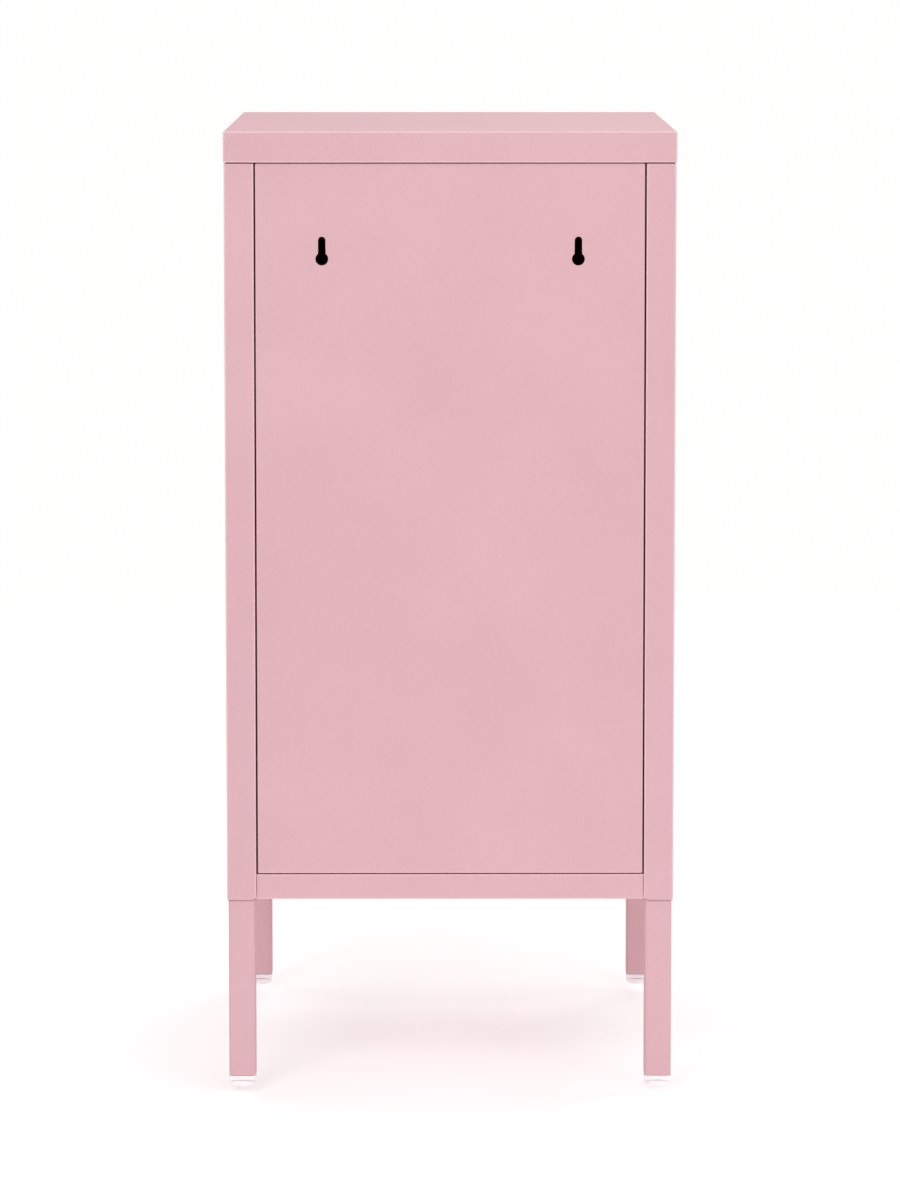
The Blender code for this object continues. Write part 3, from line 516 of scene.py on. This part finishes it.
def bore_through(bm, radius):
    """Open both flat ends of a piece, at the bottom and the top, and join them by a round bore."""
    heights = [vert.co.z for vert in bm.verts]
    for height in (min(heights), max(heights)):
        end = [face for face in bm.faces if all(abs(vert.co.z - height) < MERGE for vert in face.verts)]
        rim = list(end[0].edges)
        bmesh.ops.delete(bm, geom=end, context="FACES_ONLY")
        level = Matrix.Translation((0, 0, height))
        mouth = bmesh.ops.create_circle(bm, segments=28, radius=radius, matrix=level)["verts"]
        bmesh.ops.bridge_loops(bm, edges=rim + list({edge for vert in mouth for edge in vert.link_edges}))
    bmesh.ops.bridge_loops(bm, edges=[edge for edge in bm.edges if edge.is_boundary])


def foot_plug(node):
    """Square plug with a rounded rim, a neck up the tube and a bored hole for the stud."""
    low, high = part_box(node)
    across = high.x - low.x
    bm = bmesh.new()
    bmesh.ops.create_cube(bm, size=1)
    bmesh.ops.scale(bm, vec=(across, across, RIM_HIGH), verts=bm.verts)
    bmesh.ops.translate(bm, vec=(0, 0, RIM_HIGH / 2), verts=bm.verts)
    upright = [edge for edge in bm.edges if abs(edge.verts[0].co.z - edge.verts[1].co.z) > RIM_HIGH / 2]
    bevel_edges(bm, upright, RIM_CORNER, 6)
    bm.normal_update()
    top = [face for face in bm.faces if face.normal.z > 0.9]
    bmesh.ops.inset_region(bm, faces=top, thickness=(across - PLUG_NECK) / 2, use_even_offset=True)
    level = [edge for edge in bm.edges if abs(edge.verts[0].co.z - edge.verts[1].co.z) < LEVEL]
    rims = [edge for edge in level if edge.calc_face_angle() > math.radians(80)]
    bevel_edges(bm, rims, RIM_EDGE, 3)
    top = max(bm.faces, key=lambda face: (round(face.calc_center_median().z, 5), face.calc_area()))
    neck = bmesh.ops.extrude_face_region(bm, geom=[top])["geom"]
    bmesh.ops.delete(bm, geom=[top], context="FACES_ONLY")
    raised = [item for item in neck if isinstance(item, bmesh.types.BMVert)]
    bmesh.ops.translate(bm, verts=raised, vec=(0, 0, high.z - low.z - RIM_HIGH))
    bore_through(bm, PLUG_BORE)
    centre = middle(node)
    place_piece(bm, (centre.x, centre.y, low.z))
    merge_and_face_out(bm)
    return bm


def glide(node):
    """Round glide with a soft lower edge and a threaded stud."""
    low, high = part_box(node)
    radius = (high.x - low.x) / 2
    top = high.z - low.z
    profile = [(0, top), (STUD_RADIUS - STUD_TIP, top), (STUD_RADIUS, top - STUD_TIP)]
    profile += thread(STUD_RADIUS, top - STUD_PITCH, GLIDE_HIGH + STUD_PLAIN, STUD_PITCH)
    profile += [(STUD_RADIUS - STUD_PITCH / 2, GLIDE_HIGH)]
    profile += arc((radius - GLIDE_TOP_EDGE, GLIDE_HIGH - GLIDE_TOP_EDGE), GLIDE_TOP_EDGE, 90, 0, 3)
    profile += arc((radius - GLIDE_EDGE, GLIDE_EDGE), GLIDE_EDGE, 0, -90, 8)
    profile += [(0, 0)]
    bm = turned(profile, 56)
    centre = middle(node)
    place_piece(bm, (centre.x, centre.y, low.z))
    return bm


for corner in CORNERS:
    add_piece(f"{corner}_foot_rim", foot_plug(f"{corner}_foot_plug"), "foot_plastic", f"{corner}_foot_plug")
    add_piece(f"{corner}_foot_glide", glide(f"{corner}_glide"), "foot_plastic", f"{corner}_glide")
print("four feet")

# %% [markdown]
# ## Screws, bolts and nuts
# The cap and the back are held by cross-head screws from inside, and each leg by a socket bolt into
# a nut in the tube. A screw is turned with its rim open, and the recess closes it. The thread is a
# row of ridges and not a spiral, which looks right at this size and stays light. The head's curve is
# a row of points, each a share of the head's radius and of its height.


# %% Screws
HEAD_CURVE = ((0.62, 1.00), (0.86, 0.80), (0.97, 0.50), (1.00, 0.22), (1.00, 0.00))
HEX_REACH = 0.5  # this and the next two are shares of the head's radius
CROSS_REACH = 0.52
CROSS_HALF = 0.11
RECESS_DEEP = 0.62  # share of the head's height
RECESS_TAPER = 0.85
PLAIN = 0.0006  # length without thread at each end of a shank
TIP = 0.7  # radius of the shank's end, as a share of the shank's


def pan_screw(shank, length, head, head_high, pitch, recess):
    """A screw along Z, the underside of its head at the origin."""
    profile = [(head * across, head_high * up) for across, up in HEAD_CURVE]
    profile += [(shank, 0)]
    profile += thread(shank, -PLAIN, -length + PLAIN, pitch)
    profile += [(shank * TIP, -length), (0, -length)]
    bm = turned(profile, 32)
    if recess == "hex":
        outline = ring_of(6, head * HEX_REACH)
    else:
        outline = cross_of(head * CROSS_REACH, head * CROSS_HALF)
    add_recess(bm, outline, head_high * RECESS_DEEP, RECESS_TAPER)
    return bm


# Each kind of screw: shank radius, length, head radius, head height, thread pitch, driver.
SHEET_SCREW = (0.0020, 0.0075, 0.0038, 0.0022, 0.0007, "cross")
LEG_BOLT = (0.0030, 0.0115, 0.00525, 0.0033, 0.0010, "hex")
CATCH_SCREW = (0.0015, 0.0160, 0.0028, 0.0018, 0.0005, "cross")
KNOB_SCREW = (0.0020, 0.0085, 0.0038, 0.0022, 0.0007, "cross")
CAM_SCREW = (0.0015, 0.0090, 0.0040, 0.0020, 0.0005, "cross")

# Each screw's kind, and the way its head faces.
SCREWS = {}
for number in range(1, 5):
    SCREWS[f"cap_screw_{number}"] = (SHEET_SCREW, (0, 0, -1))
for side, inward in (("left", 1), ("right", -1)):
    for level in ("lower", "upper"):
        SCREWS[f"{side}_{level}_back_screw"] = (SHEET_SCREW, (inward, 0, 0))
    for end in ("front", "rear"):
        SCREWS[f"{end}_{side}_leg_bolt"] = (LEG_BOLT, (inward, 0, 0))
for number in (1, 2):
    SCREWS[f"catch_screw_{number}"] = (CATCH_SCREW, (0, 0, -1))
SCREWS["knob_screw"] = (KNOB_SCREW, (0, 1, 0))
SCREWS["cam_screw"] = (CAM_SCREW, (0, 1, 0))

for node, (sizes, facing) in SCREWS.items():
    bm = pan_screw(*sizes)
    head_high = sizes[3]
    low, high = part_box(node)  # the head's top touches the box on the side it faces
    place = (low + high) / 2
    for axis in range(3):
        if facing[axis] > 0:
            place[axis] = high[axis] - head_high
        elif facing[axis] < 0:
            place[axis] = low[axis] + head_high
    place_piece(bm, place, facing)
    add_piece(f"{node}_fine", bm, "zinc_steel", node)
print(len(SCREWS), "screws and bolts")


# %% Nuts
LEG_NUT_BORE = 0.0033
LOCK_NUT_BORE = 0.0083


def nut(corner_radius, bore, thick):
    """A flat nut along Z: its outline and its bore bridged to a ring, then given thickness."""
    bm = bmesh.new()
    bmesh.ops.create_circle(bm, segments=6, radius=corner_radius)
    bmesh.ops.create_circle(bm, segments=24, radius=bore)
    bmesh.ops.bridge_loops(bm, edges=list(bm.edges))
    ring = bmesh.ops.extrude_face_region(bm, geom=list(bm.faces))["geom"]
    raised = [item for item in ring if isinstance(item, bmesh.types.BMVert)]
    bmesh.ops.translate(bm, verts=raised, vec=(0, 0, thick))
    bmesh.ops.translate(bm, verts=bm.verts, vec=(0, 0, -thick / 2))
    merge_and_face_out(bm)
    return bm


for corner in CORNERS:
    node = f"{corner}_leg_nut"
    low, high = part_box(node)
    bm = nut((high.z - low.z) / 2, LEG_NUT_BORE, high.x - low.x)
    place_piece(bm, middle(node), (1, 0, 0))
    add_piece(f"{node}_fine", bm, "zinc_steel", node)
print(len(CORNERS), "leg nuts")

# %% [markdown]
# ## Hinge, knob, lock and stop
# The door turns on two headed pins in flanged nylon bushes. Its free edge has a round pull knob and
# a small cam lock, whose plug turns with the cam behind it. They are all turned pieces, the lock's
# keyway being a slot-shaped recess.


# %% Hinge pins and bushes
PIN = 0.0025
PIN_TIP = 0.0008  # rounding of its tip
PIN_HEAD = 0.0040
PIN_HEAD_HIGH = 0.0015
BUSH = 0.0035
BUSH_BORE = 0.00258
BUSH_MOUTH = 0.0028  # radius of the bore where it opens at the top
BUSH_FLANGE = 0.0045
BUSH_FLANGE_HIGH = 0.0008
CHAMFER = 0.0003  # this and the next serve the lock and the door stop too
SMALL_CHAMFER = 0.0002


def hinge_pin(length):
    """A pin along Z with a rounded tip and a flat head below it."""
    profile = [(0, length)] + arc((PIN - PIN_TIP, length - PIN_TIP), PIN_TIP, 90, 0, 4)
    profile += [(PIN, 0), (PIN_HEAD - CHAMFER, 0), (PIN_HEAD, -CHAMFER)]
    profile += [(PIN_HEAD, CHAMFER - PIN_HEAD_HIGH), (PIN_HEAD - CHAMFER, -PIN_HEAD_HIGH)]
    profile += [(0, -PIN_HEAD_HIGH)]
    return turned(profile, 40)


def hinge_bush(length):
    """A bush along Z with a flange at its lower end."""
    profile = [(BUSH_BORE, length - CHAMFER), (BUSH_MOUTH, length)]
    profile += [(BUSH - CHAMFER, length), (BUSH, length - CHAMFER), (BUSH, BUSH_FLANGE_HIGH)]
    profile += [(BUSH_FLANGE - SMALL_CHAMFER, BUSH_FLANGE_HIGH)]
    profile += [(BUSH_FLANGE, BUSH_FLANGE_HIGH - SMALL_CHAMFER), (BUSH_FLANGE, SMALL_CHAMFER)]
    profile += [(BUSH_FLANGE - SMALL_CHAMFER, 0), (BUSH_BORE, 0)]
    return turned(profile, 40, closed=True)


for end, up in (("lower", -1), ("upper", 1)):
    node = f"{end}_hinge_pin"
    low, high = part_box(node)
    place = middle(node)
    place.z = low.z + PIN_HEAD_HIGH if up > 0 else high.z - PIN_HEAD_HIGH
    bm = hinge_pin(high.z - low.z - PIN_HEAD_HIGH)
    place_piece(bm, place, (0, 0, up))
    add_piece(f"{node}_fine", bm, "zinc_steel", node)

    node = f"{end}_hinge_bush"
    low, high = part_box(node)
    place = middle(node)
    place.z = low.z if up > 0 else high.z
    bm = hinge_bush(high.z - low.z)
    place_piece(bm, place, (0, 0, up))
    add_piece(f"{node}_fine", bm, "nylon", node)
print("hinge made")


# %% Knob
# The rounded head: each point is a share of the knob's radius, and metres below its top.
KNOB_HEAD = (
    (0.00, 0.0), (0.25, 0.00015), (0.50, 0.0007), (0.72, 0.0017), (0.88, 0.0031),
    (0.97, 0.0046), (1.00, 0.0060), (0.97, 0.0074), (0.87, 0.0089), (0.70, 0.0105),
)
# The neck and the foot that sits on the door: each point is a radius and a height, in metres.
KNOB_NECK = (
    (0.0071, 0.0092), (0.0062, 0.0075), (0.0061, 0.0058), (0.0067, 0.0040),
    (0.0079, 0.0027), (0.0088, 0.0019), (0.0090, 0.0014), (0.0090, 0),
)
KNOB_BORE = 0.0023
KNOB_BORE_DEEP = 0.0107


def knob(radius, length):
    """A round pull knob along Z, with a hollow neck curve and a bore for its screw."""
    profile = [(radius * across, length - down) for across, down in KNOB_HEAD]
    profile += KNOB_NECK
    profile += [(KNOB_BORE, 0), (KNOB_BORE, KNOB_BORE_DEEP), (0, KNOB_BORE_DEEP)]
    return turned(profile, 64)


low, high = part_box("door_knob")
bm = knob((high.x - low.x) / 2, high.y - low.y)
place = middle("door_knob")
place.y = high.y
place_piece(bm, place, (0, -1, 0))
add_piece("door_knob_fine", bm, "pink_paint", "door_knob")
print("knob made")

# %% Lock
LOCK_RIM = 0.0095  # radius of the housing's rim, which lies on the door
LOCK_RIM_EDGE = 0.0005
LOCK_RIM_HIGH = 0.0015
LOCK_BARREL = 0.0080
LOCK_BARREL_CHAMFER = 0.0004
LOCK_BORE = 0.0056
LOCK_PLUG = 0.0055
LOCK_TAIL = 0.0032  # radius of the plug's thin end, which carries the cam
LOCK_TAIL_LONG = 0.002
CAM_SCREW_BORE = 0.0018
CAM_SCREW_BORE_DEEP = 0.010
KEYWAY_HALF = 0.0006
KEYWAY_REACH = 0.0032
KEYWAY_DEEP = 0.0075

low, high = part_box("lock_housing")
length = high.y - low.y
profile = [(LOCK_BORE, -SMALL_CHAMFER), (LOCK_BORE + CHAMFER, 0.0), (LOCK_RIM - LOCK_RIM_EDGE, 0.0)]
profile += arc((LOCK_RIM - LOCK_RIM_EDGE, -LOCK_RIM_EDGE), LOCK_RIM_EDGE, 90, 0, 4)
profile += [(LOCK_RIM, -LOCK_RIM_HIGH), (LOCK_BARREL, -LOCK_RIM_HIGH)]
profile += [(LOCK_BARREL, LOCK_BARREL_CHAMFER - length), (LOCK_BARREL - LOCK_BARREL_CHAMFER, -length)]
profile += [(LOCK_BORE, -length)]
bm = turned(profile, 56, closed=True)
place = middle("lock_housing")
place.y = low.y
place_piece(bm, place, (0, -1, 0))
add_piece("lock_housing_fine", bm, "chrome", "lock_housing")

low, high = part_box("lock_plug")
length = high.y - low.y
profile = [(LOCK_PLUG - CHAMFER, 0.0), (LOCK_PLUG, -CHAMFER)]
profile += [(LOCK_PLUG, LOCK_TAIL_LONG - length), (LOCK_TAIL, LOCK_TAIL_LONG - length)]
profile += [(LOCK_TAIL, -length), (CAM_SCREW_BORE, -length)]
profile += [(CAM_SCREW_BORE, CAM_SCREW_BORE_DEEP - length), (0, CAM_SCREW_BORE_DEEP - length)]
bm = turned(profile, 48)
key_slot = [
    (KEYWAY_HALF, KEYWAY_REACH - CHAMFER), (KEYWAY_HALF - CHAMFER, KEYWAY_REACH),
    (CHAMFER - KEYWAY_HALF, KEYWAY_REACH), (-KEYWAY_HALF, KEYWAY_REACH - CHAMFER),
    (-KEYWAY_HALF, CHAMFER - KEYWAY_REACH), (CHAMFER - KEYWAY_HALF, -KEYWAY_REACH),
    (KEYWAY_HALF - CHAMFER, -KEYWAY_REACH), (KEYWAY_HALF, CHAMFER - KEYWAY_REACH),
]
add_recess(bm, key_slot, KEYWAY_DEEP, 1.0)
place = middle("lock_plug")
place.y = low.y
place_piece(bm, place, (0, -1, 0))
add_piece("lock_plug_fine", bm, "chrome", "lock_plug")

low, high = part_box("lock_nut")
bm = nut((high.x - low.x) / 2, LOCK_NUT_BORE, high.y - low.y)
place_piece(bm, middle("lock_nut"), (0, 1, 0))
add_piece("lock_nut_fine", bm, "zinc_steel", "lock_nut")
print("lock made")

# %% Door stop button
STOP = 0.0050
STOP_EDGE = 0.0012
STOP_TOP_RING = 0.0032  # a ring in the flat top, inside its rounded edge
STOP_LIP = 0.0004  # height of the chamfer under the button
STOP_LIFT = 0.0003  # gap between the button and the cabinet's floor
STOP_STEM = 0.0022
STOP_BARB = ((0.0032, 0.0030), (0.0030, 0.0022))  # radius and height of the barb under the floor

low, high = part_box("door_stop_button")
tall = high.z - low.z
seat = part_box("bottom_panel")[1].z - low.z + STOP_LIFT  # the button's underside
profile = [(0, tall), (STOP_TOP_RING, tall)]
profile += arc((STOP - STOP_EDGE, tall - STOP_EDGE), STOP_EDGE, 90, 0, 5)
profile += [(STOP, seat + STOP_LIP), (STOP - CHAMFER, seat), (STOP_STEM, seat)]
profile += [(STOP_STEM, STOP_BARB[0][1]), *STOP_BARB, (STOP_STEM, 0.0), (0, 0)]
bm = turned(profile, 40)
place = middle("door_stop_button")
place.z = low.z
place_piece(bm, place)
add_piece("door_stop_button_fine", bm, "rubber", "door_stop_button")
print("door stop made")

# %% [markdown]
# ## Pieces whose CAD shape is already right
# The catch, its magnet and the lock's cam are plain shapes with their holes and rounded edges, so
# they keep their CAD meshes and only get a finish.

# %% Finishes for the kept pieces
KEPT = {"catch_housing": "catch_plastic", "catch_magnet": "magnet", "lock_cam": "zinc_steel"}
for node, slot in KEPT.items():
    NODES[node].data.materials.clear()
    NODES[node].data.materials.append(FINISHES[slot])
print(len(KEPT), "pieces kept as they are")

# %% [markdown]
# ## Studio
# A pale floor lies just below the feet and fades out a few metres away, where the bright backdrop
# takes over, so that hardly any horizon shows. The floor also glows a little, as white paper lit from
# below does, which keeps the shadow under the cabinet pale. The light is soft and even. A key softbox
# above the camera draws the thin shadows under the cap and beside the corner posts, and a wide fill
# beside it softens them. More boxes light the top, the door and the sides, and the bright room fills
# the rest. Only the camera sees the room as white; the pieces are lit by a dimmer one.

# %% Floor
FLOOR_RADIUS = 3.0
FADE_FROM, FADE_TO = 0.9, 2.8
FLOOR_GLOW = 0.38
PAPER_DARK = (0.67, 0.665, 0.665, 1)
PAPER_LIGHT = (0.70, 0.695, 0.695, 1)
PAPER_SPECKLE = 40.0  # per metre
FLOOR_DROP = 0.0062  # the floor lies this far below the feet, where a glide screwed right out reaches


def floor_finish():
    """Pale matt paper that turns clear far from the cabinet."""
    material, shader, wire = new_finish("pale_paper")
    place = wire.node("ShaderNodeTexCoord", {}, {}, output="Object")
    distance = wire.node("ShaderNodeVectorMath", {"operation": "LENGTH"}, {0: place}, output="Value")
    speckle = noise(wire, place, PAPER_SPECKLE, 4.0)
    connect(wire, shader, {
        "Base Color": blend_colours(wire, speckle, PAPER_DARK, PAPER_LIGHT),
        "Emission Color": (1.0, 0.995, 0.995, 1),
        "Emission Strength": FLOOR_GLOW,
        "Roughness": 0.9,
        "Specular IOR Level": 0.1,
        "Alpha": stretch(wire, distance, FADE_FROM, FADE_TO, 1.0, 0.0),
    })
    return material


bm = bmesh.new()
level = Matrix.Translation((0, 0, -FLOOR_DROP))
bmesh.ops.create_circle(bm, cap_ends=True, segments=96, radius=FLOOR_RADIUS, matrix=level)
floor_mesh = bpy.data.meshes.new("floor")
bm.to_mesh(floor_mesh)
bm.free()
floor_mesh.materials.append(floor_finish())
floor = bpy.data.objects.new("floor", floor_mesh)
bpy.context.scene.collection.objects.link(floor)
floor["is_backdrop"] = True

# %% Lights
ROOM_LIGHT = 0.58  # strength of the room as the pieces see it; the camera sees 1
# Each softbox: its place, the point it faces, its width and height, and its power in watts.
SOFTBOXES = {
    "key_softbox": ((1.0, 2.9, 2.5), (0, 0, 0.30), 1.2, 1.2, 32.0),
    "fill_softbox": ((-1.2, 3.2, 2.1), (0, 0, 0.30), 2.4, 1.6, 29.0),
    "top_softbox": ((0.0, 0.6, 3.2), (0, 0, 0.60), 3.4, 3.4, 10.0),
    "front_softbox": ((-0.9, -2.8, 3.1), (0, 0, 0.40), 2.4, 2.0, 40.0),
    "left_softbox": ((-3.4, -0.6, 1.6), (0, 0, 0.40), 2.2, 2.2, 26.0),
    "right_softbox": ((3.4, -1.0, 1.9), (0, 0, 0.40), 2.2, 2.2, 18.0),
}
for name, (place, target, wide, tall, power) in SOFTBOXES.items():
    light = bpy.data.lights.new(name, "AREA")
    light.shape = "RECTANGLE"
    light.size = wide
    light.size_y = tall
    light.energy = power
    lamp = bpy.data.objects.new(name, light)
    lamp.location = place
    lamp.rotation_euler = (Vector(target) - Vector(place)).to_track_quat("-Z", "Y").to_euler()
    bpy.context.scene.collection.objects.link(lamp)

world = bpy.data.worlds.new("room")
world.use_nodes = True
room = Wire(world.node_tree)
seen = room.node("ShaderNodeLightPath", {}, {}, output="Is Camera Ray")
backdrop = world.node_tree.nodes["Background"]
connect(room, backdrop, {
    "Color": (1.0, 0.995, 0.99, 1),
    "Strength": seen * (1.0 - ROOM_LIGHT) + ROOM_LIGHT,
})
bpy.context.scene.world = world
print(len(SOFTBOXES), "softboxes")

# %% Size, and the end
low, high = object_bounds()
sizes = {"cad": [list(CAD_LOW), list(CAD_HIGH)], "visual": [list(low), list(high)]}
print("visual model", [round(side, 4) for side in high - low], "m")
